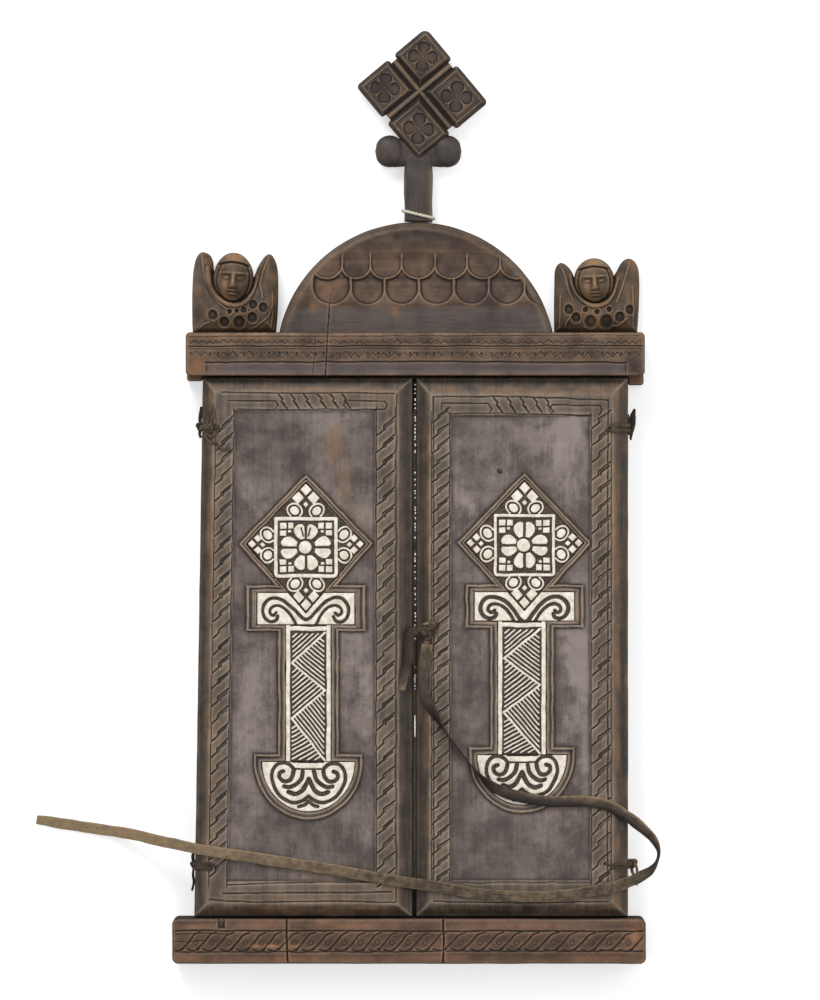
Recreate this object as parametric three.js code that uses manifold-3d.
// A carved wooden home altar: a closed two-door case that lies on its back.
// X runs to the viewer's right, Y up the altar towards its cross, and Z out of the carved front.
// Lengths are millimetres. The back of the case lies at z = 0 and the outline is centred on the origin.
import * as THREE from "three";
import { ConvexGeometry } from "three/addons/geometries/ConvexGeometry.js";
import { mergeGeometries, mergeVertices } from "three/addons/utils/BufferGeometryUtils.js";
import Module from "manifold-3d";

// Driving dimensions of the case
const plinthOverhang = 12.65;
const plinthHeight = 29.1;
const plinthDepth = 44;
const plinthRound = 6;
const caseWidth = 277.5;
const caseHeight = 346.3;
const caseTaper = 5.4;
const caseShift = 1.4;
const panelThickness = 25;
const nicheBorder = 20;
const nicheDepth = 3;
const gessoThickness = 0.5;
const corniceOverhangLeft = 10.75;
const corniceOverhangRight = 10.55;
const corniceHeight = 27.8;
const corniceDepth = 42;
const corniceRound = 4;
const lugThickness = 10;
const lugDropLeft = 3;
const lugDropRight = 5.6;
const domeClearance = 0.8;
const domeRise = 71;
const domeThickness = 24;
const domeAside = 0.5;
const domeRim = 4;

// Driving dimensions of the finial cross and the two winged heads
const finialShift = 6;
const stemWidth = 18;
const stemHeight = 39.7;
const tenonWidth = 12;
const tenonLength = 18;
const finialThickness = 12;
const lozengeRight = 58.3;
const lozengeLeft = 62.2;
const saltireRaise = 2.6;
const lozengeTurn = THREE.MathUtils.degToRad(40.5);
const saltireWidth = 5;
const knobRadius = 9.4;
const knobRise = 5.7;
const knobSpread = 18.4;
const stringThickness = 1.8;
const cherubWidth = 55;
const cherubHeight = 52;
const cherubThickness = 14;
const cherubInset = 30.7;

// Driving dimensions that both doors share, and their fittings
const doorThickness = 13;
const doorGap = 0.6;
const doorSplit = 1.9;
const meetingShift = 3.5;
const bevelDrop = 4.3;
const fieldRecess = 1;
const inlayThickness = 2.4;
const inlayRelief = 1.2;
const inlayGap = 1;
const mouldingWidth = 3.4;
const thongWidth = 5.6;
const thongThickness = 1.3;
const thongInset = 32.5;
const thongHole = 10.6;
const thongStub = 5;
const strapWidth = 7;
const strapThickness = 1.8;
const strapHoleDrop = 50.4;
const nailRadius = 1.5;

// Clearances, chisel marks and joinery
const fitGap = 0.3;
const overrun = 1;
const weld = 1e-4;
const lineWidth = 1.4;
const lineDepth = 1.1;
const dowelRadius = 4;
const dowelLength = 30;
const pegRadius = 2.5;
const pegLength = 16;

// Driving dimensions of the left door's carving, measured from its own edges
const leftCrossAside = -0.352;
const leftBevelOuter = 8.5;
const leftBevelInner = 11;
const leftBevelTop = 9.9;
const leftBevelBottom = 9;
const leftRopeOuter = 12.2;
const leftRopeInner = 12.8;
const leftBandTop = 11.2;
const leftBandBottom = 13.4;
const leftTwistWidth = 45;
const leftRopePitch = 10.9;
const leftCrossLean = 1.6;
const leftSquareHalf = 20.6;
const leftDiamondHalf = 38.2;
const leftDiamondRise = 41.6;
const leftDiamondLift = 2.4;
const leftCapitalDrop = 28.9;
const leftCapitalWidth = 62.4;
const leftCapitalHeight = 20.5;
const leftShaftWidth = 28.8;
const leftShaftHeight = 87;
const leftFootWidth = 59.6;
const leftFootHeight = 32;

// Driving dimensions of the right door's carving, measured from its own edges
const rightCrossAside = 1.5;
const rightBevelOuter = 10.5;
const rightBevelInner = 9.6;
const rightBevelTop = 11.5;
const rightBevelBottom = 10;
const rightRopeOuter = 13.4;
const rightRopeInner = 12.2;
const rightBandTop = 12.5;
const rightBandBottom = 12.8;
const rightTwistWidth = 40;
const rightRopePitch = 10.2;
const rightCrossLean = -1.6;
const rightSquareHalf = 19.8;
const rightDiamondHalf = 38.2;
const rightDiamondRise = 41.4;
const rightDiamondLift = 1.6;
const rightCapitalDrop = 29.8;
const rightCapitalWidth = 64;
const rightCapitalHeight = 18.6;
const rightShaftWidth = 30.7;
const rightShaftHeight = 85;
const rightFootWidth = 57.6;
const rightFootHeight = 32;

// The carving of each door by name. s is -1 on the left door and 1 on the right one. The cross stands at a
// share of the case's height
const doors = [
  {
    side: "left",
    s: -1,
    crossRiseShare: 0.68236,
    crossAside: leftCrossAside,
    bevelOuter: leftBevelOuter,
    bevelInner: leftBevelInner,
    bevelTop: leftBevelTop,
    bevelBottom: leftBevelBottom,
    ropeOuter: leftRopeOuter,
    ropeInner: leftRopeInner,
    bandTop: leftBandTop,
    bandBottom: leftBandBottom,
    twistWidth: leftTwistWidth,
    ropePitch: leftRopePitch,
    crossLean: leftCrossLean,
    squareHalf: leftSquareHalf,
    diamondHalf: leftDiamondHalf,
    diamondRise: leftDiamondRise,
    diamondLift: leftDiamondLift,
    capitalDrop: leftCapitalDrop,
    capitalWidth: leftCapitalWidth,
    capitalHeight: leftCapitalHeight,
    shaftWidth: leftShaftWidth,
    shaftHeight: leftShaftHeight,
    footWidth: leftFootWidth,
    footHeight: leftFootHeight,
  },
  {
    side: "right",
    s: 1,
    crossRiseShare: 0.68633,
    crossAside: rightCrossAside,
    bevelOuter: rightBevelOuter,
    bevelInner: rightBevelInner,
    bevelTop: rightBevelTop,
    bevelBottom: rightBevelBottom,
    ropeOuter: rightRopeOuter,
    ropeInner: rightRopeInner,
    bandTop: rightBandTop,
    bandBottom: rightBandBottom,
    twistWidth: rightTwistWidth,
    ropePitch: rightRopePitch,
    crossLean: rightCrossLean,
    squareHalf: rightSquareHalf,
    diamondHalf: rightDiamondHalf,
    diamondRise: rightDiamondRise,
    diamondLift: rightDiamondLift,
    capitalDrop: rightCapitalDrop,
    capitalWidth: rightCapitalWidth,
    capitalHeight: rightCapitalHeight,
    shaftWidth: rightShaftWidth,
    shaftHeight: rightShaftHeight,
    footWidth: rightFootWidth,
    footHeight: rightFootHeight,
  },
];

// Places that follow from those dimensions, measured up from the foot of the plinth
const plinthWidth = caseWidth + 2 * plinthOverhang;
const caseFoot = plinthHeight + fitGap;
const caseHead = plinthHeight + caseHeight;
const corniceFoot = caseHead + fitGap;
const corniceHead = corniceFoot + corniceHeight;
const domeHead = corniceHead + domeRise;
const lozengeFoot = domeHead + stemHeight;
const lozengeRise = lozengeRight * Math.sin(lozengeTurn) + lozengeLeft * Math.cos(lozengeTurn);
const totalHeight = lozengeFoot + lozengeRise;
const rightEdge = caseShift + caseWidth / 2;
const leftEdge = caseShift - caseWidth / 2;
const doorFoot = plinthHeight + doorGap;
const doorHead = caseHead - doorGap;
const doorBack = panelThickness + fitGap;
const doorFront = doorBack + doorThickness;
const doorRim = doorFront - bevelDrop;
const fieldLevel = doorFront - fieldRecess;
const inlayBack = doorFront - inlayThickness;
const inlayGround = doorFront - inlayRelief;
const pocketFloor = inlayBack - fitGap;
const upperThong = doorHead - thongInset;
const lowerThong = doorFoot + thongInset;
const mix = (a, b, share) => a + (b - a) * share;
const edgeAt = (s, y) => (s > 0 ? rightEdge : leftEdge + caseTaper * ((y - plinthHeight) / caseHeight));
const corniceLeft = edgeAt(-1, caseHead) - corniceOverhangLeft;
const corniceRight = rightEdge + corniceOverhangRight;
const corniceX = (corniceLeft + corniceRight) / 2;
const corniceWidth = corniceRight - corniceLeft;
const domeX = corniceX + domeAside;
const domeWidth = corniceWidth - 2 * (cherubInset + cherubWidth / 2 + domeClearance);

// Solids from geometries, and geometries from solids
const wasm = await Module();
wasm.setup();

function bare(geometry) {
  const loose = geometry.index ? geometry.toNonIndexed() : geometry.clone();
  for (const name of Object.keys(loose.attributes)) if (name !== "position") loose.deleteAttribute(name);
  return loose;
}

function solidOf(geometry) {
  const merged = mergeVertices(bare(geometry), weld);
  return new wasm.Manifold(
    new wasm.Mesh({
      numProp: 3,
      vertProperties: merged.attributes.position.array,
      triVerts: new Uint32Array(merged.index.array),
    }),
  );
}

function geometryOf(solid) {
  const mesh = solid.getMesh();
  const geometry = new THREE.BufferGeometry();
  geometry.setAttribute("position", new THREE.BufferAttribute(mesh.vertProperties, mesh.numProp));
  geometry.setIndex(new THREE.BufferAttribute(mesh.triVerts, 1));
  return geometry;
}

const together = (geometries) => solidOf(mergeGeometries(geometries.map(bare)));
const join = (geometries) => geometries.map(solidOf).reduce((all, next) => all.add(next));
const cut = (solid, geometries) => geometries.reduce((left, next) => left.subtract(solidOf(next)), solid);

function prism(points, low, high, hole) {
  const shape = new THREE.Shape(points.map(([x, y]) => new THREE.Vector2(x, y)));
  if (hole) shape.holes.push(new THREE.Path(hole.map(([x, y]) => new THREE.Vector2(x, y))));
  return new THREE.ExtrudeGeometry(shape, { depth: high - low, bevelEnabled: false }).translate(0, 0, low);
}

// A prism whose outline lies in X and Z and which runs along Y
const prismAlongY = (points, low, high, hole) => prism(points, -high, -low, hole).rotateX(Math.PI / 2);

const rectangle = (x0, y0, x1, y1) => [
  [x0, y0],
  [x1, y0],
  [x1, y1],
  [x0, y1],
];

const box = (x0, y0, x1, y1, low, high) => prism(rectangle(x0, y0, x1, y1), low, high);
const hull = (points) => new ConvexGeometry(points.map((p) => new THREE.Vector3(...p)));
const at = (points, x, y) => points.map(([px, py]) => [px + x, py + y]);

// A pointed cut of the chisel from one end to the other
function chip([x0, y0], [x1, y1], width, depth, surface) {
  const grow = 1 + overrun / depth;
  const [midX, midY] = [(x0 + x1) / 2, (y0 + y1) / 2];
  const long = Math.hypot(x1 - x0, y1 - y0);
  const [ux, uy] = [((x1 - x0) / 2) * grow, ((y1 - y0) / 2) * grow];
  const [vx, vy] = [(-uy / long) * width, (ux / long) * width];
  const level = surface + overrun;
  return hull([
    [midX + ux, midY + uy, level],
    [midX - ux, midY - uy, level],
    [midX + vx, midY + vy, level],
    [midX - vx, midY - vy, level],
    [midX, midY, surface - depth],
  ]);
}

// A straight V groove that keeps its width
function groove([x0, y0], [x1, y1], width, depth, surface) {
  const long = Math.hypot(x1 - x0, y1 - y0);
  const [ux, uy] = [(x1 - x0) / long, (y1 - y0) / long];
  const half = (width / 2) * (1 + overrun / depth);
  const corner = (x, y, along, across) => [
    x + ux * along - uy * across,
    y + uy * along + ux * across,
    surface + overrun,
  ];
  return hull([
    corner(x0, y0, -half, half),
    corner(x0, y0, -half, -half),
    corner(x1, y1, half, half),
    corner(x1, y1, half, -half),
    [x0, y0, surface - depth],
    [x1, y1, surface - depth],
  ]);
}

// A three-sided cut that is deepest in its middle
function triangleCut(corners, depth, surface) {
  const midX = (corners[0][0] + corners[1][0] + corners[2][0]) / 3;
  const midY = (corners[0][1] + corners[1][1] + corners[2][1]) / 3;
  const grow = 1 + overrun / depth;
  const level = surface + overrun;
  const rim = corners.map(([x, y]) => [midX + (x - midX) * grow, midY + (y - midY) * grow, level]);
  return hull([...rim, [midX, midY, surface - depth]]);
}

// The outline of a band of one width along a bent line
function band(points, width) {
  const left = [];
  const right = [];
  points.forEach(([x, y], i) => {
    const [px, py] = points[Math.max(i - 1, 0)];
    const [nx, ny] = points[Math.min(i + 1, points.length - 1)];
    const long = Math.hypot(nx - px, ny - py);
    const [vx, vy] = [((py - ny) / long) * (width / 2), ((nx - px) / long) * (width / 2)];
    left.push([x + vx, y + vy]);
    right.unshift([x - vx, y - vy]);
  });
  return [...left, ...right];
}

const arc = (x, y, rx, ry, from, to, steps) =>
  Array.from({ length: steps + 1 }, (_, i) => {
    const angle = mix(from, to, i / steps);
    return [x + rx * Math.cos(angle), y + ry * Math.sin(angle)];
  });

const rodAlongY = (x, low, high, z, radius) =>
  new THREE.CylinderGeometry(radius, radius, high - low, 8).translate(x, (low + high) / 2, z);

const lump = (x, y, z, rx, ry, rz) => new THREE.SphereGeometry(1, 10, 6).scale(rx, ry, rz).translate(x, y, z);

// Finishes
const finish = (color, roughness, metalness = 0) =>
  new THREE.MeshStandardMaterial({ color, roughness, metalness });
const finishes = {
  darkWood: finish(0x4a3f3a, 0.55),
  redWood: finish(0x5f4637, 0.55),
  doorWood: finish(0x554b49, 0.5),
  bone: finish(0xded8c8, 0.45),
  gesso: finish(0xe4dccb, 0.8),
  leather: finish(0x8a7250, 0.7),
  thread: finish(0xd8cfb8, 0.9),
  peg: finish(0x8a6a48, 0.7),
  iron: finish(0x5c5048, 0.5, 0.8),
};

const altar = new THREE.Group();
altar.position.y = -totalHeight / 2;

function piece(name, solid, material) {
  const mesh = new THREE.Mesh(solid.isBufferGeometry ? solid : geometryOf(solid), material);
  mesh.name = name;
  altar.add(mesh);
}

// Dowels stand across the seams between the panel and the boards below and above it
const dowelPlaces = [-0.3, 0.3].map((share) => caseShift + share * caseWidth);
const dowelLevel = panelThickness / 2;
const seams = [
  ["plinth", plinthHeight],
  ["cornice", caseHead],
];

const dowelHoles = (seam) =>
  dowelPlaces.map((x) =>
    rodAlongY(x, seam - dowelLength / 2 - fitGap, seam + dowelLength / 2 + 2 * fitGap, dowelLevel,
      dowelRadius + fitGap),
  );

for (const [seamName, seam] of seams)
  dowelPlaces.forEach((x, i) => {
    const low = seam + fitGap / 2 - dowelLength / 2;
    const dowel = rodAlongY(x, low, low + dowelLength, dowelLevel, dowelRadius);
    piece(`${seamName}_dowel_${i ? "right" : "left"}`, dowel, finishes.peg);
  });

// Plinth: a long block with rounded corners, a braid between two plain bands, and a split-out notch
function plinth() {
  const [x0, x1] = [-plinthWidth / 2, plinthWidth / 2];
  const quarter = Math.PI / 2;
  const outline = [
    ...arc(x1 - plinthRound, plinthRound, plinthRound, plinthRound, -quarter, 0, 3),
    ...arc(x1 - plinthRound, plinthHeight - plinthRound, plinthRound, plinthRound, 0, quarter, 3),
    ...arc(x0 + plinthRound, plinthHeight - plinthRound, plinthRound, plinthRound, quarter, 2 * quarter, 3),
    ...arc(x0 + plinthRound, plinthRound, plinthRound, plinthRound, 2 * quarter, 3 * quarter, 3),
  ];
  const braidLow = plinthHeight * 0.27;
  const braidHigh = plinthHeight * 0.69;
  const middle = (braidLow + braidHigh) / 2;
  const pitch = braidHigh - braidLow;
  const count = Math.floor((plinthWidth - 2 * plinthRound) / pitch) - 1;
  const cuts = [braidLow - lineWidth, braidHigh + lineWidth].map((level) =>
    groove([x0 + plinthRound, level], [x1 - plinthRound, level], lineWidth, lineDepth, plinthDepth),
  );
  for (let i = 0; i < count; i++) {
    const x = (i - (count - 1) / 2) * pitch;
    const lower = [x - pitch * 0.45, mix(braidLow, middle, 0.1)];
    const upper = [x + pitch * 0.45, mix(braidHigh, middle, 0.1)];
    cuts.push(chip(lower, [x + pitch * 0.05, mix(middle, braidLow, 0.1)], lineWidth, lineDepth, plinthDepth));
    const start = [x - pitch * 0.05, mix(middle, braidHigh, 0.1)];
    cuts.push(chip(start, upper, lineWidth, lineDepth, plinthDepth));
  }
  const notchX = -plinthWidth * 0.395;
  const notchLow = braidHigh + 2 * lineWidth;
  const notch = box(notchX, notchLow, notchX + lineWidth * 3, plinthHeight + overrun, plinthDepth - lineDepth,
    plinthDepth + overrun);
  return cut(solidOf(prism(outline, 0, plinthDepth)).subtract(together(cuts)), [
    notch,
    ...dowelHoles(plinthHeight),
  ]);
}
piece("plinth", plinth(), finishes.redWood);

// Back panel: one plank with a shallow sunk field behind the doors, and its leather thongs' side holes
const nicheOutline = (inset) => {
  const margin = nicheBorder + inset;
  return [
    [edgeAt(-1, caseFoot) + margin, caseFoot + margin],
    [rightEdge - margin, caseFoot + margin],
    [rightEdge - margin, caseHead - margin],
    [edgeAt(-1, caseHead) + margin, caseHead - margin],
  ];
};
const sideHole = panelThickness * 0.44;

function backPanel() {
  const outline = [
    [edgeAt(-1, caseFoot), caseFoot],
    [rightEdge, caseFoot],
    [rightEdge, caseHead],
    [edgeAt(-1, caseHead), caseHead],
  ];
  const holes = [];
  for (const s of [-1, 1])
    for (const y of [upperThong, lowerThong]) {
      const edge = edgeAt(s, y);
      const [x0, x1] = [edge - s * (thongStub + fitGap), edge + s * overrun].sort((a, b) => a - b);
      const half = thongWidth / 2 + fitGap;
      holes.push(box(x0, y - half, x1, y + half, sideHole - thongThickness - fitGap, sideHole + fitGap));
    }
  return cut(solidOf(prism(outline, 0, panelThickness)), [
    prism(nicheOutline(0), panelThickness - nicheDepth, panelThickness + overrun),
    ...holes,
    ...dowelHoles(plinthHeight),
    ...dowelHoles(caseHead),
  ]);
}
piece("back_panel", backPanel(), finishes.darkWood);

// Gesso: the cream ground that fills the sunk field
const gessoBack = panelThickness - nicheDepth + fitGap;
piece("icon_gesso", prism(nicheOutline(fitGap), gessoBack, gessoBack + gessoThickness), finishes.gesso);

// Crest board: the cornice with its two zigzag rows, and the round-topped dome with rows of scales
const pegPlaces = [corniceLeft + cherubInset, corniceRight - cherubInset];
const pegLevel = cherubThickness / 2;
const pegHole = (x) =>
  rodAlongY(x, corniceHead - pegLength / 2 - fitGap, corniceHead + pegLength / 2 + 2 * fitGap, pegLevel,
    pegRadius + fitGap);
const domeRadius = (domeWidth * domeWidth) / (8 * domeRise) + domeRise / 2;
const domeCentre = domeHead - domeRadius;

function domeOutline(inset) {
  const radius = domeRadius - inset;
  const half = Math.acos(Math.min(1, Math.max(-1, (corniceHead - domeCentre) / radius)));
  return arc(domeX, domeCentre, radius, radius, Math.PI / 2 - half, Math.PI / 2 + half, 28);
}

// One row of hollow scales, each with a flat top and a round lower edge
function scaleRow(x, top, height, pitch, count) {
  const wall = pitch * 0.05;
  const depth = domeThickness * 0.08;
  return Array.from({ length: count }, (_, i) => {
    const middle = x + (i - (count - 1) / 2) * pitch;
    const half = pitch / 2 - wall;
    const bowl = arc(middle, top - height * 0.45, half, height * 0.5, Math.PI, 2 * Math.PI, 6);
    const rim = [[middle + half, top - wall], [middle - half, top - wall]];
    return prism([...bowl, ...rim], domeThickness - depth, domeThickness + overrun);
  });
}

function crestBoard() {
  const [x0, x1] = [corniceLeft, corniceRight];
  const r = corniceRound;
  const quarter = Math.PI / 2;
  const outline = [
    ...arc(x1 - r, corniceFoot + r, r, r, -quarter, 0, 2),
    ...arc(x1 - r, corniceHead - r, r, r, 0, quarter, 2),
    ...arc(x0 + r, corniceHead - r, r, r, quarter, 2 * quarter, 2),
    ...arc(x0 + r, corniceFoot + r, r, r, 2 * quarter, 3 * quarter, 2),
  ];
  const lugs = [
    box(x0, corniceFoot - lugDropLeft, edgeAt(-1, caseHead) - doorGap, corniceFoot + r, 0, lugThickness),
    box(rightEdge + doorGap, corniceFoot - lugDropRight, x1, corniceFoot + r, 0, lugThickness),
  ];
  const rim = domeOutline(0);
  const level = (points, z) => points.map(([x, y]) => [x, y, z]);
  const dome = hull([
    ...level(rim, 0),
    ...level(rim, domeThickness - domeRim),
    ...level(domeOutline(domeRim * 0.3), domeThickness - domeRim * 0.3),
    ...level(domeOutline(domeRim), domeThickness),
    ...level(rectangle(domeX - domeWidth * 0.45, corniceFoot + r, domeX + domeWidth * 0.45, corniceHead), 0),
  ]);
  const scales = [
    ...scaleRow(domeX, corniceHead + domeRise * 0.732, domeRise * 0.226, domeWidth * 0.12, 6),
    ...scaleRow(domeX, corniceHead + domeRise * 0.5, domeRise * 0.226, domeWidth * 0.126, 7),
  ];
  const rowCuts = [];
  const rowShares = [
    [0.62, 0.78],
    [0.3, 0.52],
  ];
  const grooveShares = [0.25, 0.565, 0.86];
  const rowPitch = corniceHeight * 0.185;
  const reach = corniceWidth / 2 - 2 * r;
  const count = Math.floor((2 * reach) / rowPitch);
  for (const [low, high] of rowShares)
    for (let i = 0; i < count; i++) {
      const x = corniceX + (i - (count - 1) / 2) * rowPitch;
      const [y0, y1] = [corniceFoot + corniceHeight * low, corniceFoot + corniceHeight * high];
      const corners = [
        [x - rowPitch * 0.42, y0],
        [x + rowPitch * 0.42, y0],
        [x, y1],
      ];
      rowCuts.push(triangleCut(corners, lineDepth, corniceDepth));
    }
  for (const share of grooveShares) {
    const y = corniceFoot + corniceHeight * share;
    const ends = [[corniceX - reach, y], [corniceX + reach, y]];
    rowCuts.push(groove(...ends, lineWidth * 0.7, lineDepth, corniceDepth));
  }
  const tenonHole = box(
    finialShift - tenonWidth / 2 - fitGap,
    domeHead - tenonLength - fitGap,
    finialShift + tenonWidth / 2 + fitGap,
    domeHead + overrun,
    finialThickness * 0.5 - fitGap,
    finialThickness + fitGap,
  );
  return join([prism(outline, 0, corniceDepth), ...lugs])
    .subtract(together(rowCuts))
    .add(solidOf(dome).subtract(together(scales)))
    .subtract(solidOf(tenonHole))
    .subtract(together(dowelHoles(caseHead)))
    .subtract(together(pegPlaces.map(pegHole)));
}
piece("crest_board", crestBoard(), finishes.darkWood);

// Finial cross: a round-edged stem, two knobs, and a lozenge of four panels parted by a ridged saltire
const finialMiddle = finialThickness * 0.75;
const lozengeAside = lozengeRight * Math.cos(lozengeTurn) - lozengeLeft * Math.sin(lozengeTurn);
const lozengeX = finialShift + lozengeAside / 2;

function finialCross() {
  const turned = (geometry) =>
    geometry.rotateZ(lozengeTurn).translate(lozengeX, lozengeFoot + lozengeRise / 2, finialMiddle);
  const half = finialThickness / 2;
  const edge = finialThickness * 0.18;
  const plate = (x0, y0, x1, y1) =>
    hull([
      ...rectangle(x0 + edge, y0 + edge, x1 - edge, y1 - edge).map(([x, y]) => [x, y, -half]),
      ...rectangle(x0, y0, x1, y1).map(([x, y]) => [x, y, -half + edge]),
      ...rectangle(x0, y0, x1, y1).map(([x, y]) => [x, y, half - edge]),
      ...rectangle(x0 + edge, y0 + edge, x1 - edge, y1 - edge).map(([x, y]) => [x, y, half]),
    ]);
  const [a, b, w] = [lozengeRight / 2, lozengeLeft / 2, saltireWidth / 2];
  const pieces = [];
  for (const sx of [-1, 1])
    for (const sy of [-1, 1]) {
      const [x0, x1] = [sx * w, sx * a].sort((p, q) => p - q);
      const [y0, y1] = [saltireRaise + sy * w, sy * b].sort((p, q) => p - q);
      pieces.push(plate(x0, y0, x1, y1));
    }
  const notch = saltireWidth * 0.55;
  const bars = [
    [rectangle(notch - a, saltireRaise - w - edge, a - notch, saltireRaise + w + edge),
      [[notch - a, saltireRaise], [a - notch, saltireRaise]]],
    [rectangle(-w - edge, notch - b, w + edge, b - notch), [[0, notch - b], [0, b - notch]]],
  ];
  for (const [outline, ridge] of bars)
    pieces.push(
      hull([
        ...outline.map(([px, py]) => [px, py, -half + edge]),
        ...outline.map(([px, py]) => [px, py, half - edge]),
        ...ridge.map(([px, py]) => [px, py, half]),
      ]),
    );
  let solid = join(pieces.map(turned));
  const cuts = [];
  const inset = edge * 1.9;
  for (const sx of [-1, 1])
    for (const sy of [-1, 1]) {
      const near = saltireRaise + sy * w;
      const [px, py] = [sx * (w + (a - w) / 2), (near + sy * b) / 2];
      const [hx, hy] = [(a - w) / 2 - inset, Math.abs(sy * b - near) / 2 - inset];
      const [tx, ty] = [hx * 0.62, hy * 0.62];
      for (const qx of [-1, 1])
        for (const qy of [-1, 1]) {
          const corner = [px + qx * hx, py + qy * hy];
          const corners = [corner, [corner[0] - qx * tx, corner[1]], [corner[0], corner[1] - qy * ty]];
          cuts.push(turned(triangleCut(corners, lineDepth, half)));
        }
    }
  solid = solid.subtract(together(cuts));
  const s = stemWidth / 2;
  const stemHalf = half * 0.9;
  const stem = [
    [-s, -stemHalf * 0.5],
    [-s * 0.7, -stemHalf],
    [s * 0.7, -stemHalf],
    [s, -stemHalf * 0.5],
    [s, stemHalf * 0.5],
    [s * 0.7, stemHalf],
    [-s * 0.7, stemHalf],
    [-s, stemHalf * 0.5],
  ];
  const knobY = lozengeFoot + knobRise;
  const pieces2 = [
    prismAlongY(at(stem, finialShift, finialMiddle), domeHead + fitGap, lozengeFoot + knobRadius),
    box(finialShift - tenonWidth / 2, domeHead - tenonLength, finialShift + tenonWidth / 2,
      domeHead + 2 * overrun, finialThickness * 0.5, finialThickness),
    ...[-1, 1].map((side) =>
      lump(finialShift + side * knobSpread, knobY, finialMiddle, knobRadius, knobRadius, half * 1.1),
    ),
    box(finialShift - knobSpread, knobY - knobRadius * 0.5, finialShift + knobSpread,
      knobY + knobRadius * 0.8, finialMiddle - half * 0.5, finialMiddle + half * 0.5),
  ];
  return solid.add(join(pieces2));
}
piece("finial_cross", finialCross(), finishes.darkWood);

// String: a loop of twisted thread round the foot of the stem, pulled aslant
function finialString() {
  const tilt = THREE.MathUtils.degToRad(-14);
  const loop = (grow) => {
    const rx = (stemWidth / 2 + grow) / Math.cos(tilt);
    const rz = finialThickness * 0.45 + grow;
    return [
      [-rx, -rz * 0.55],
      [-rx * 0.75, -rz],
      [rx * 0.75, -rz],
      [rx, -rz * 0.55],
      [rx, rz * 0.55],
      [rx * 0.75, rz],
      [-rx * 0.75, rz],
      [-rx, rz * 0.55],
    ];
  };
  return prismAlongY(loop(fitGap + stringThickness), -stringThickness / 2, stringThickness / 2, loop(fitGap))
    .rotateZ(tilt)
    .translate(finialShift, domeHead + stemWidth * 0.28, finialMiddle);
}
piece("finial_string", finialString(), finishes.thread);

// Cherubs: a winged head rises from a breast of feathers, pegged to the top of the cornice
function cherub(x) {
  const w = cherubWidth;
  const h = cherubHeight;
  const t = cherubThickness;
  const base = corniceHead + fitGap;
  const wingShares = [
    [0.48, 0],
    [0.5, 0.4],
    [0.49, 0.74],
    [0.45, 0.92],
    [0.39, 1],
    [0.33, 0.96],
    [0.28, 0.86],
    [0.235, 0.74],
  ];
  const right = wingShares.map(([sx, sy]) => [sx * w, sy * h]);
  const outline = [...right, ...right.map(([px, py]) => [-px, py]).reverse()];
  const collar = band(arc(0, h * 0.66, w * 0.255, h * 0.33, Math.PI, 2 * Math.PI, 8), w * 0.06);
  const head = [
    lump(0, h * 0.7, t, w * 0.215, h * 0.28, t * 0.55),
    hull([
      [-w * 0.035, h * 0.6, t * 1.45],
      [w * 0.035, h * 0.6, t * 1.45],
      [0, h * 0.6, t * 1.68],
      [0, h * 0.74, t * 1.55],
      [0, h * 0.66, t],
    ]),
    ...[-1, 1].map((side) => lump(side * w * 0.085, h * 0.72, t * 1.42, w * 0.04, h * 0.022, t * 0.08)),
    lump(0, h * 0.53, t * 1.4, w * 0.05, h * 0.02, t * 0.08),
  ];
  const feathers = [];
  const featherShares = [
    [0.27, 3],
    [0.13, 4],
  ];
  featherShares.forEach(([level, count]) => {
    for (let i = 0; i < count; i++) {
      const fx = (i - (count - 1) / 2) * w * 0.16;
      const tip = arc(fx, h * level, w * 0.065, h * 0.075, Math.PI, 2 * Math.PI, 4);
      feathers.push(prism(tip, t * 0.9, t * 1.12));
    }
  });
  const grooves = [];
  const quillShares = [0.37, 0.43];
  for (const side of [-1, 1])
    for (const share of quillShares) {
      const quillX = side * w * share;
      grooves.push(groove([quillX, h * 0.12], [quillX, h * 0.78], lineWidth, lineDepth, t));
    }
  const solid = solidOf(prism(outline, 0, t))
    .subtract(together(grooves))
    .add(join([prism(collar, t * 0.5, t * 1.25), ...feathers, ...head]));
  return solid.translate([x, base, 0]).subtract(solidOf(pegHole(x)));
}

["left", "right"].forEach((side, i) => {
  const x = pegPlaces[i];
  const low = corniceHead + fitGap / 2 - pegLength / 2;
  piece(`${side}_cherub`, cherub(x), finishes.darkWood);
  piece(`${side}_cherub_peg`, rodAlongY(x, low, low + pegLength, pegLevel, pegRadius), finishes.peg);
});

// Each door's outlines, from its own table
const innerEdge = (d) => meetingShift + (d.s * doorSplit) / 2;
const crossY = (d) => doorFoot + d.crossRiseShare * caseHeight;
const crossX = (d) => (innerEdge(d) + edgeAt(d.s, crossY(d))) / 2 + d.crossAside;
const capitalTop = (d) => crossY(d) - d.capitalDrop;
const capitalBottom = (d) => capitalTop(d) - d.capitalHeight;
const shaftBottom = (d) => capitalBottom(d) - fitGap - d.shaftHeight;
const footTop = (d) => shaftBottom(d) - fitGap;

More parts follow.
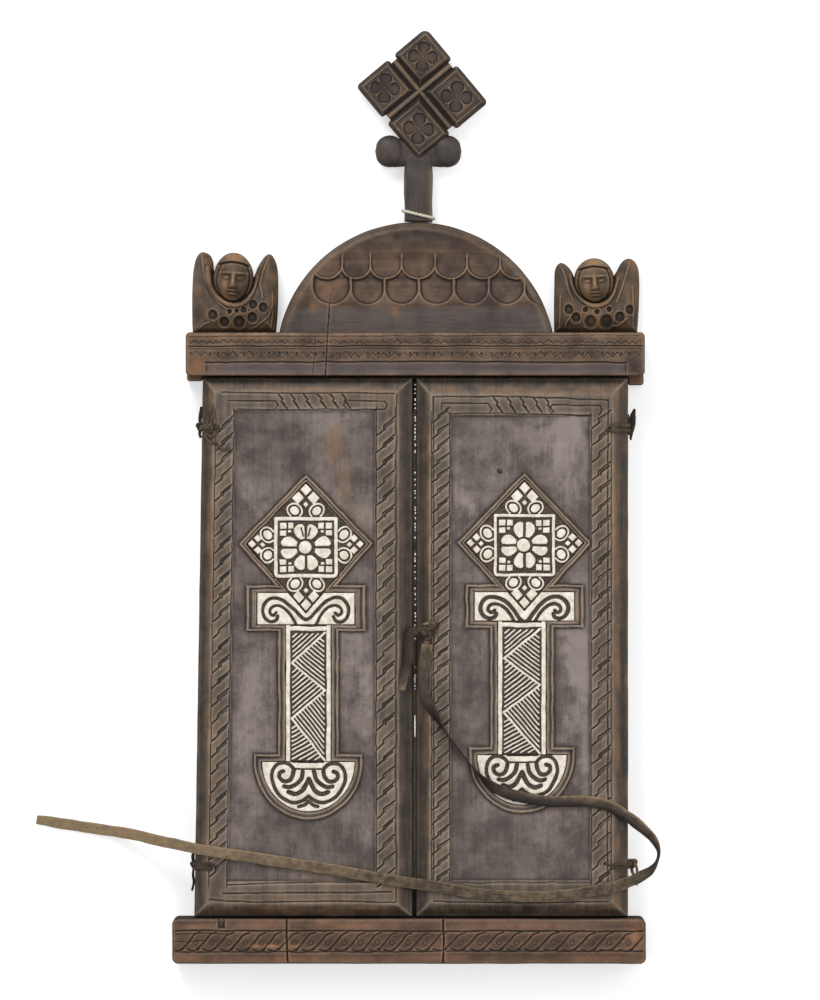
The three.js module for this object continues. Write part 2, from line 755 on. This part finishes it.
const inlayOutlines = {
  diamond: (d, grow) => {
    const half = d.diamondHalf + grow * Math.SQRT2;
    const rise = d.diamondRise + grow * Math.SQRT2;
    const points = [
      [half, d.diamondLift],
      [0, rise],
      [-half, d.diamondLift],
      [0, -rise],
    ];
    return at(points, crossX(d), crossY(d));
  },
  square: (d, grow) => {
    const half = d.squareHalf + grow;
    return at(rectangle(-half, -half, half, half), crossX(d), crossY(d));
  },
  capital: (d, grow) => {
    const half = d.capitalWidth / 2 + grow;
    return at(rectangle(-half, capitalBottom(d) - grow, half, capitalTop(d) + grow), crossX(d), 0);
  },
  shaft: (d, grow) => {
    const half = d.shaftWidth / 2 + grow;
    return at(rectangle(-half, shaftBottom(d), half, capitalBottom(d) - fitGap), crossX(d) + d.crossLean, 0);
  },
  foot: (d, grow) => {
    const half = d.footWidth / 2 + grow;
    const low = arc(0, 0, half, d.footHeight + grow, Math.PI, 2 * Math.PI, 14);
    return at([...low, [half, grow], [-half, grow]], crossX(d) + d.crossLean, footTop(d));
  },
};

function doorCorners(d, inset) {
  const outer = (y) => edgeAt(d.s, y) - d.s * inset.outer;
  const inner = innerEdge(d) + d.s * inset.inner;
  const [low, high] = [doorFoot + inset.bottom, doorHead - inset.top];
  return [
    [outer(low), low],
    [inner, low],
    [inner, high],
    [outer(high), high],
  ];
}

// A stepped rope: one slanting cut for each turn, all the way up a column
function ropeCuts(d, middleAt, width, low, high, pitch) {
  const count = Math.floor((high - low) / pitch);
  const start = low + (high - low - count * pitch) / 2;
  return Array.from({ length: count }, (_, i) => {
    const y = start + (i + 0.5) * pitch;
    const x = middleAt(y);
    const ends = [
      [x - width * 0.4, y - pitch * 0.3],
      [x + width * 0.4, y + pitch * 0.3],
    ];
    return chip(...ends, pitch * 0.34, lineDepth, doorFront);
  });
}

function doorBoard(d) {
  const none = { outer: 0, inner: 0, top: 0, bottom: 0 };
  const bevel = { outer: d.bevelOuter, inner: d.bevelInner, top: d.bevelTop, bottom: d.bevelBottom };
  const field = {
    outer: d.bevelOuter + d.ropeOuter,
    inner: d.bevelInner + d.ropeInner,
    top: d.bevelTop + d.bandTop,
    bottom: d.bevelBottom + d.bandBottom,
  };
  const flat = doorCorners(d, none);
  const lift = (points, z) => points.map(([x, y]) => [x, y, z]);
  const board = hull([
    ...lift(flat, doorBack),
    ...lift(flat, doorRim),
    ...lift(doorCorners(d, bevel), doorFront),
  ]);
  const parts = Object.values(inlayOutlines);
  const rimmed = parts.filter((outline) => outline !== inlayOutlines.square);
  const moulding = rimmed.map((outline) => prism(outline(d, inlayGap + mouldingWidth), inlayBack, doorFront));
  const fieldOutline = doorCorners(d, field);
  const pockets = parts.map((outline) => prism(outline(d, inlayGap), pocketFloor, doorFront + overrun));
  const [fieldLow, fieldHigh] = [doorFoot + field.bottom, doorHead - field.top];
  const outerRope = (y) => edgeAt(d.s, y) - d.s * (d.bevelOuter + d.ropeOuter / 2);
  const innerRope = () => innerEdge(d) + d.s * (d.bevelInner + d.ropeInner / 2);
  const cuts = [
    ...ropeCuts(d, outerRope, d.ropeOuter, fieldLow, fieldHigh, d.ropePitch),
    ...ropeCuts(d, innerRope, d.ropeInner, fieldLow, fieldHigh, d.ropePitch),
  ];
  const [left, right] = [fieldOutline[0][0], fieldOutline[1][0]].sort((a, b) => a - b);
  const middle = (left + right) / 2;
  const twists = Math.floor(d.twistWidth / (d.bandTop * 0.7));
  for (let i = 0; i < twists; i++) {
    const x = middle + (i - (twists - 1) / 2) * (d.twistWidth / twists);
    const ends = [
      [x - d.bandTop * 0.25, fieldHigh + d.bandTop * 0.75],
      [x + d.bandTop * 0.25, fieldHigh + d.bandTop * 0.2],
    ];
    cuts.push(chip(...ends, lineWidth * 1.6, lineDepth, doorFront));
  }
  const lineShares = [0.35, 0.68];
  for (const share of lineShares) {
    const y = mix(fieldLow, fieldLow - d.bandBottom, share);
    cuts.push(groove([left, y], [right, y], lineWidth, lineDepth * 0.7, doorFront));
  }
  let solid = cut(solidOf(board), [prism(fieldOutline, fieldLevel, doorFront + overrun)]);
  solid = solid.subtract(together(cuts));
  const inside = solidOf(prism(fieldOutline, doorBack, doorFront));
  solid = cut(solid.add(join(moulding).intersect(inside)), pockets);
  for (const y of [upperThong, lowerThong]) {
    const edge = edgeAt(d.s, y);
    const [x0, x1] = [thongHole - fitGap, thongHole + thongThickness + fitGap]
      .map((inset) => edge - d.s * inset)
      .sort((a, b) => a - b);
    const half = thongWidth / 2 + fitGap;
    const hole = box(x0, y - half, x1, y + half, doorFront - thongStub - fitGap, doorFront + overrun);
    solid = cut(solid, [hole]);
  }
  return solid;
}

// The head of the inlaid cross: a square frame with a rosette, in a diamond with a lattice at each point
function headInlay(d) {
  const q = d.squareHalf;
  const r = d.diamondHalf;
  const ground = cut(
    join([
      prism(inlayOutlines.diamond(d, 0), inlayBack, inlayGround),
      prism(inlayOutlines.square(d, 0), inlayBack, inlayGround),
    ]),
    [],
  );
  const raised = (points, x = 0, y = 0) =>
    prism(at(points, crossX(d) + x, crossY(d) + y), inlayBack, doorFront);
  const frameBar = q * 0.13;
  const forms = [
    prism(inlayOutlines.square(d, 0), inlayBack, doorFront, inlayOutlines.square(d, -frameBar)),
    raised(arc(0, 0, q * 0.24, q * 0.24, 0, Math.PI * 1.8, 9)),
  ];
  const petalShares = [
    [0.28, 0],
    [0.54, 0.3],
    [0.75, 0.26],
    [0.81, 0],
    [0.75, -0.26],
    [0.54, -0.3],
  ];
  for (let i = 0; i < 8; i++) {
    const turn = ((i + 0.5) * Math.PI) / 4;
    forms.push(raised(petalShares.map(([s, a]) => [s * q * Math.cos(turn + a), s * q * Math.sin(turn + a)])));
  }
  const tile = q * 0.085;
  for (const sx of [-1, 1])
    for (const sy of [-1, 1])
      for (const [cx, cy] of [
        [0.745, 0.745],
        [0.545, 0.745],
        [0.745, 0.545],
      ])
        forms.push(raised(rectangle(-tile, -tile, tile, tile), sx * cx * q, sy * cy * q));
  const kiteShares = (x, y, half) => [
    [x + half, y],
    [x, y + half],
    [x - half, y],
    [x, y - half],
  ];
  const latticeShares = [
    kiteShares(0, 0.89, 0.09),
    kiteShares(0.115, 0.775, 0.09),
    kiteShares(-0.115, 0.775, 0.09),
    kiteShares(0, 0.68, 0.055),
  ];
  const lobes = [-1, 1].map((side) => {
    const [x, wide] = [side * 0.19 * r, 0.095 * r];
    return [...arc(x, q * 1.16, wide, wide, 0, Math.PI, 5), [x - wide, q * 1.03], [x + wide, q * 1.03]];
  });
  for (let i = 0; i < 4; i++) {
    const [c, s] = [Math.cos((i * Math.PI) / 2), Math.sin((i * Math.PI) / 2)];
    const turn = (points) => points.map(([x, y]) => [x * c - y * s, x * s + y * c]);
    const stretch = ([x, y]) => [x * r, y * d.diamondRise + Math.abs(x) * d.diamondLift];
    for (const points of latticeShares) forms.push(raised(turn(points).map(stretch)));
    for (const points of lobes) forms.push(raised(turn(points)));
  }
  return ground.add(join(forms));
}

// The capital: a plate notched by the diamond's lower point, with a volute at each side
function capitalInlay(d) {
  const [hw, hh] = [d.capitalWidth / 2, d.capitalHeight / 2];
  const voluteShares = [
    [0.2, -0.85],
    [0.33, -0.1],
    [0.47, 0.42],
    [0.68, 0.66],
    [0.86, 0.42],
    [0.9, -0.06],
    [0.79, -0.46],
    [0.64, -0.36],
    [0.63, 0.02],
  ];
  const middleY = capitalTop(d) - hh;
  const cuts = [prism(inlayOutlines.diamond(d, fitGap), pocketFloor, doorFront + overrun)];
  for (const side of [-1, 1]) {
    const line = voluteShares.map(([x, y]) => [crossX(d) + side * x * hw, middleY + y * hh]);
    cuts.push(prism(band(line, lineWidth), inlayGround, doorFront + overrun));
  }
  return cut(solidOf(prism(inlayOutlines.capital(d, 0), inlayBack, doorFront)), cuts);
}

// The shaft: two long bars and two crossbars frame a zigzag whose triangles are hatched
function shaftInlay(d) {
  const x = crossX(d) + d.crossLean;
  const half = d.shaftWidth / 2;
  const [low, high] = [shaftBottom(d), capitalBottom(d) - fitGap];
  const bar = d.shaftWidth * 0.11;
  const inner = half - bar - lineWidth;
  const [patternLow, patternHigh] = [low + bar + lineWidth, high - bar - lineWidth];
  const forms = [
    box(x - half, low, x - half + bar, high, inlayBack, doorFront),
    box(x + half - bar, low, x + half, high, inlayBack, doorFront),
    box(x - inner, low, x + inner, low + bar, inlayBack, doorFront),
    box(x - inner, high - bar, x + inner, high, inlayBack, doorFront),
  ];
  const turnShares = [0, 0.22, 0.43, 0.64, 1];
  const turns = turnShares.map((share, i) => [
    x + (i % 2 ? -inner : inner),
    mix(patternHigh, patternLow, share),
  ]);
  const hatchWidth = lineWidth * 0.75;
  const hatch = (a, b, c, count) => {
    for (let i = 1; i <= count; i++) {
      const from = [mix(a[0], b[0], i / count), mix(a[1], b[1], i / count)];
      const to = [mix(a[0], c[0], i / count), mix(a[1], c[1], i / count)];
      const ends = [
        [mix(from[0], to[0], 0.05), mix(from[1], to[1], 0.05)],
        [mix(from[0], to[0], 0.93), mix(from[1], to[1], 0.93)],
      ];
      forms.push(prism(band(ends, hatchWidth), inlayBack, doorFront));
    }
  };
  hatch([x - inner, patternHigh], turns[0], turns[1], 5);
  for (let i = 2; i < turns.length; i++) hatch(turns[i - 2], turns[i - 1], turns[i], 5);
  hatch([x - inner, patternLow], turns[3], turns[4], 5);
  return solidOf(prism(inlayOutlines.shaft(d, 0), inlayBack, inlayGround)).add(join(forms));
}

// The foot: a half-round plate with two scrolls over a pair of waves
function footInlay(d) {
  const [hw, h] = [d.footWidth / 2, d.footHeight];
  const [x, top] = [crossX(d) + d.crossLean, footTop(d)];
  const scroll = Array.from({ length: 13 }, (_, i) => {
    const angle = mix(-0.35, 1.75, i / 12) * Math.PI;
    const radius = mix(0.2, 0.09, i / 12) * hw;
    return [-0.46 * hw - radius * Math.cos(angle), -0.26 * h + radius * Math.sin(angle)];
  });
  const waveShares = [
    [[-0.5, -0.62], [-0.3, -0.72], [-0.12, -0.66], [0, -0.5]],
    [[-0.24, -0.84], [-0.12, -0.88], [0, -0.78]],
  ];
  const cuts = [];
  for (const side of [-1, 1]) {
    const place = ([px, py]) => [x + side * px, top + py];
    cuts.push(prism(band(scroll.map(place), lineWidth), inlayGround, doorFront + overrun));
    for (const wave of waveShares) {
      const line = wave.map(([sx, sy]) => place([(sx - 0.02) * hw, sy * h]));
      cuts.push(prism(band(line, lineWidth), inlayGround, doorFront + overrun));
    }
  }
  return cut(solidOf(prism(inlayOutlines.foot(d, 0), inlayBack, doorFront)), cuts);
}

for (const d of doors) {
  const board = doorBoard(d);
  piece(`${d.side}_door`, d.s > 0 ? cut(board, fixingHoles()) : board, finishes.doorWood);
  piece(`${d.side}_cross_head`, headInlay(d), finishes.bone);
  piece(`${d.side}_cross_capital`, capitalInlay(d), finishes.bone);
  piece(`${d.side}_cross_shaft`, shaftInlay(d), finishes.bone);
  piece(`${d.side}_cross_foot`, footInlay(d), finishes.bone);
}

// Nail: a small hand-made nail in the right door's field. The strap's hole is beside the door's inner rope
function nailPlace() {
  return [crossX(doors[1]) - doors[1].diamondHalf * 0.41, crossY(doors[1]) + doors[1].diamondHalf * 1.24];
}

function strapHole() {
  const d = doors[1];
  return [innerEdge(d) + d.bevelInner + d.ropeInner * 0.3, crossY(d) - strapHoleDrop];
}

function fixingHoles() {
  const [nx, ny] = nailPlace();
  const [hx, hy] = strapHole();
  const nailReach = doorThickness * 0.5;
  const nailHole = new THREE.CylinderGeometry(nailRadius * 0.5 + fitGap, nailRadius * 0.5 + fitGap,
    nailReach + overrun, 6)
    .rotateX(Math.PI / 2)
    .translate(nx, ny, fieldLevel - nailReach / 2 + overrun / 2);
  const half = strapWidth * 0.3 + fitGap;
  const low = doorFront - thongStub - fitGap;
  return [nailHole, box(hx - half, hy - half, hx + half, hy + half, low, doorFront + overrun)];
}

function doorNail() {
  const [x, y] = nailPlace();
  const reach = doorThickness * 0.5 - fitGap;
  const shank = new THREE.CylinderGeometry(nailRadius * 0.5, nailRadius * 0.3, reach, 6)
    .rotateX(Math.PI / 2)
    .translate(x, y, fieldLevel + fitGap * 2 - reach / 2);
  const head = lump(x, y, fieldLevel + fitGap + nailRadius * 0.5, nailRadius, nailRadius, nailRadius * 0.5);
  return join([shank, head]);
}
piece("door_nail", doorNail(), finishes.iron);

// Hinge thongs: a leather lace joins each door to the case at two places. The half on the door comes out of
// its front, lies on the bevel and turns down over the edge; the half on the case goes into the panel's side
function doorThong(d, y) {
  const edge = edgeAt(d.s, y);
  const [g, t] = [fitGap, thongThickness];
  const section = [
    [thongHole + t, doorFront - thongStub],
    [thongHole + t, doorFront + g + t],
    [d.bevelOuter, doorFront + g + t],
    [-g - t, doorRim + g + t * 0.6],
    [-g - t, doorBack],
    [-g, doorBack],
    [-g, doorRim + g * 0.8],
    [Math.min(d.bevelOuter, thongHole), doorFront + g],
    [thongHole, doorFront + g],
    [thongHole, doorFront - thongStub],
  ].map(([inset, z]) => [edge - d.s * inset, z]);
  return prismAlongY(section, y - thongWidth / 2, y + thongWidth / 2);
}

function caseThong(d, y, tail) {
  const edge = edgeAt(d.s, y);
  const [g, t] = [fitGap, thongThickness];
  const section = [
    [-g - t, panelThickness],
    [-g - t, sideHole - t],
    [thongStub, sideHole - t],
    [thongStub, sideHole],
    [-g, sideHole],
    [-g, panelThickness],
  ].map(([inset, z]) => [edge - d.s * inset, z]);
  const knotZ = sideHole * 0.78;
  const out = (reach) => edge + d.s * (g + t + reach);
  const size = thongWidth * 0.5;
  const knotReach = size * 0.35;
  const tip = (px, py, pz, half) => [
    [px - half, py, pz],
    [px + half, py, pz],
    [px, py - half, pz + half],
    [px, py + half, pz - half],
  ];
  return join([
    prismAlongY(section, y - thongWidth / 2, y + thongWidth / 2),
    lump(out(knotReach), y, knotZ, size * 0.75, size * 1.3, size * 1.1),
    ...tail.map(([reach, drop]) =>
      hull([
        ...tip(out(knotReach), y, knotZ, t),
        ...tip(out(reach * thongWidth), y - drop * thongWidth, knotZ, t * 0.6),
      ]),
    ),
  ]);
}

// How far the loose ends of each lace stand out from the case and hang towards the plinth, by its width
const laceEndShares = {
  left: { upper: [[0.54, 1.43]], lower: [[0.61, 3.04], [0.39, 1.79]] },
  right: { upper: [[0.82, 1.43], [0.75, -1.96]], lower: [[1.07, -0.36], [0.64, 2.14]] },
};

for (const d of doors)
  for (const [level, y] of [
    ["upper", upperThong],
    ["lower", lowerThong],
  ]) {
    piece(`${d.side}_${level}_thong_door`, doorThong(d, y), finishes.leather);
    piece(`${d.side}_${level}_thong_case`, caseThong(d, y, laceEndShares[d.side][level]), finishes.leather);
  }

// Tie strap: the chosen points of its middle line, with its turn about that line in degrees, where 0 lies
// flat and 90 stands on edge. It leaves the knot, loops out past the right edge and comes back across both
// doors. Each stretch ends face to face with the next one
const strapRoute = [
  [11.5, 204.4, 39.8, 0],
  [10.6, 197.1, 39.8, 0],
  [9.6, 186.2, 39.8, 0],
  [9.9, 174.7, 39.8, 0],
  [12.2, 167, 40.4, 15],
  [16, 160, 41.4, 45],
  [21.1, 151.7, 42.2, 80],
  [26.9, 143.4, 42.3, 90],
  [33.3, 135, 42.3, 90],
  [39.7, 126.7, 42.3, 90],
  [46.1, 119.7, 42.2, 75],
  [52.5, 113.9, 41.3, 40],
  [59.5, 110.1, 40.2, 12],
  [67.8, 107.5, 39.7, 0],
  [83.8, 104.3, 39.6, 0],
  [99.8, 103.7, 39.6, 0],
  [115.8, 103.7, 39.6, 0],
  [127.6, 101, 39.5, 0],
  [134, 97.8, 39.3, 0],
  [138.1, 95, 39.1, 0],
];
const loopRoute = [
  [138.5, 94.73, 39.08, 0],
  [142.6, 91.93, 38.88, 0],
  [147, 88.4, 38.6, 16],
  [151.9, 84.1, 38.5, 34],
  [156.6, 78.9, 38.4, 52],
  [159.6, 71.6, 38.3, 82],
  [158.2, 64.8, 38.3, 84],
  [153.8, 59.2, 38.4, 50],
  [147.8, 55.6, 38.7, 16],
  [143.1, 53.2, 38.9, 0],
  [138.5, 51.6, 39.1, 0],
];
const returnRoute = [
  [138.1, 51.46, 39.12, 0],
  [133.5, 49.86, 39.35, 0],
  [128.4, 48.5, 39.6, 0],
  [122.2, 47.4, 39.6, 0],
  [96.6, 43.5, 39.6, 0],
  [71, 42.9, 39.6, 0],
  [45.4, 44.8, 39.6, 0],
  [19.8, 49, 39.6, 0],
  [4.5, 51.2, 39.6, 0],
];
const tailRoute = [
  [4.2, 51.2, 39.6, 0],
  [-5.8, 52.5, 39.6, 0],
  [-31.4, 57, 39.6, 0],
  [-57, 61.4, 39.6, 0],
  [-82.6, 65.3, 39.6, 0],
  [-108.2, 69.1, 39.6, 0],
  [-126.1, 72, 39.7, 0],
  [-136.3, 73.6, 38.5, 0],
  [-144.6, 75.2, 34.5, 0],
  [-153, 76.8, 29, 0],
  [-161.3, 78.4, 22.6, 0],
  [-169.6, 80, 16.4, 0],
  [-177.9, 81.6, 10.8, 0],
  [-186.2, 83, 6.2, 0],
  [-195.2, 84.2, 3.1, 0],
  [-204.2, 85.4, 1.6, 0],
  [-213.8, 87, 1.2, 0],
  [-223.4, 88.3, 1.2, 0],
  [-231, 89.6, 1.2, 0],
  [-239.4, 90.9, 1.2, 0],
];
const shortRoute = [
  [5.4, 213.4, 40.6, 0],
  [2.4, 212.6, 40.6, 0],
  [0.6, 210.2, 40.4, 0],
  [0.1, 206.6, 40.1, 0],
  [0.3, 201.6, 39.8, 0],
  [-0.4, 194.6, 39.7, 0],
  [-2.5, 185, 39.7, 0],
  [-4.8, 174.4, 39.7, 0],
];

class FlatRoute extends THREE.CatmullRomCurve3 {
  constructor(route) {
    super(route.map(([x, y, z]) => new THREE.Vector3(x, y, z)), false, "centripetal");
    this.turns = route.map((point) => THREE.MathUtils.degToRad(point[3]));
  }

  // Frames that keep the strap flat on what it lies on, but for its own turn
  computeFrenetFrames(segments) {
    const frames = { tangents: [], normals: [], binormals: [] };
    for (let i = 0; i <= segments; i++) {
      const tangent = this.getTangentAt(i / segments);
      const place = this.getUtoTmapping(i / segments) * (this.turns.length - 1);
      const before = Math.min(Math.floor(place), this.turns.length - 2);
      const turn = mix(this.turns[before], this.turns[before + 1], place - before);
      const across = new THREE.Vector3(-tangent.y, tangent.x, 0).normalize();
      const normal = across.applyAxisAngle(tangent, turn);
      frames.tangents.push(tangent);
      frames.normals.push(normal);
      frames.binormals.push(new THREE.Vector3().crossVectors(tangent, normal));
    }
    return frames;
  }
}

function strapSection(width) {
  const [w, t] = [width / 2, strapThickness / 2];
  return new THREE.Shape(
    [
      [w, t * 0.5],
      [w - t * 0.5, t],
      [t * 0.5 - w, t],
      [-w, t * 0.5],
      [-w, -t * 0.5],
      [t * 0.5 - w, -t],
      [w - t * 0.5, -t],
      [w, -t * 0.5],
    ].map(([x, y]) => new THREE.Vector2(x, y)),
  );
}

function strapStretch(route, steps) {
  const extrudePath = new FlatRoute(route);
  return new THREE.ExtrudeGeometry(strapSection(strapWidth), { steps, bevelEnabled: false, extrudePath });
}

function tieKnot() {
  const [hx, hy] = strapHole();
  const [x, y] = [innerEdge(doors[1]) + doors[1].bevelInner * 0.72, hy - strapWidth * 0.62];
  const base = doorFront + fitGap;
  const round = strapWidth * 0.79;
  const half = strapWidth * 0.3;
  return join([
    lump(x, y, base + round * 0.5, round, round * 0.9, round * 0.5),
    hull([
      ...rectangle(hx - half, hy - half, hx + half, hy + half).map(([px, py]) => [px, py, base]),
      ...rectangle(hx - half, hy - half, hx + half, hy + half).map(([px, py]) =>
        [px, py, base + strapThickness]),
      ...rectangle(x - half, y - half, x + half, y + half).map(([px, py]) => [px, py, base + round * 0.3]),
      ...rectangle(x - half, y - half, x + half, y + half).map(([px, py]) => [px, py, base + round * 0.7]),
    ]),
    box(hx - half, hy - half, hx + half, hy + half, doorFront - thongStub, base + strapThickness),
  ]);
}
piece("tie_knot", tieKnot(), finishes.leather);
piece("tie_strap", strapStretch(strapRoute, 26), finishes.leather);
piece("tie_strap_loop", strapStretch(loopRoute, 12), finishes.leather);
piece("tie_strap_return", strapStretch(returnRoute, 12), finishes.leather);
piece("tie_strap_tail", strapStretch(tailRoute, 24), finishes.leather);
piece("tie_short_end", strapStretch(shortRoute, 10), finishes.leather);

export default altar;
